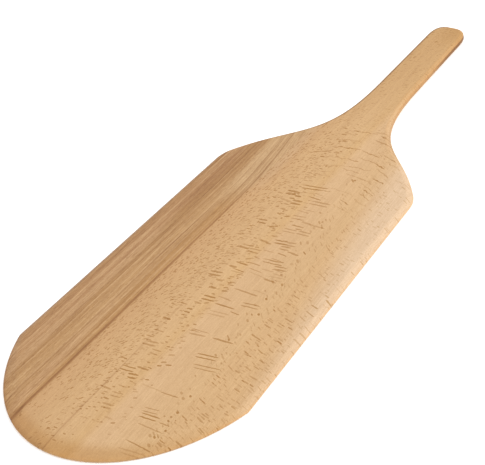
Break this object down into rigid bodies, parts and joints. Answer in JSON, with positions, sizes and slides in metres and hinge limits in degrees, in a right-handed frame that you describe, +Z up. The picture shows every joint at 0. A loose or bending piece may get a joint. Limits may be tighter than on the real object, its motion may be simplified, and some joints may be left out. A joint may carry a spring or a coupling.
{
  "type": "pizza peel",
  "caption": "Flat beech pizza peel with a curved bevelled front edge, ogee shoulders and a rounded handle, edge-glued from wooden staves.",
  "frame": {"origin": "middle of the peel in plan, on its flat underside", "axes": "+Y along the peel from the curved front edge to the handle end, +Z up out of the carrying face, +X to the right seen from above with the handle pointing away"},
  "size_m": [0.3048, 0.778, 0.009],
  "materials": {
    "beech_flecked": "quarter-sawn beech, fine sanded and lightly oiled, satin",
    "beech_striped": "plain-sawn beech with lengthwise stripes, fine sanded and lightly oiled, satin",
    "beech_pale": "pale rift-sawn beech, fine sanded and lightly oiled, satin"
  },
  "bodies": {
    "root": {"handle_stave": "beech_flecked", "left_stave": "beech_striped", "right_stave": "beech_pale"}
  },
  "joints": []
}
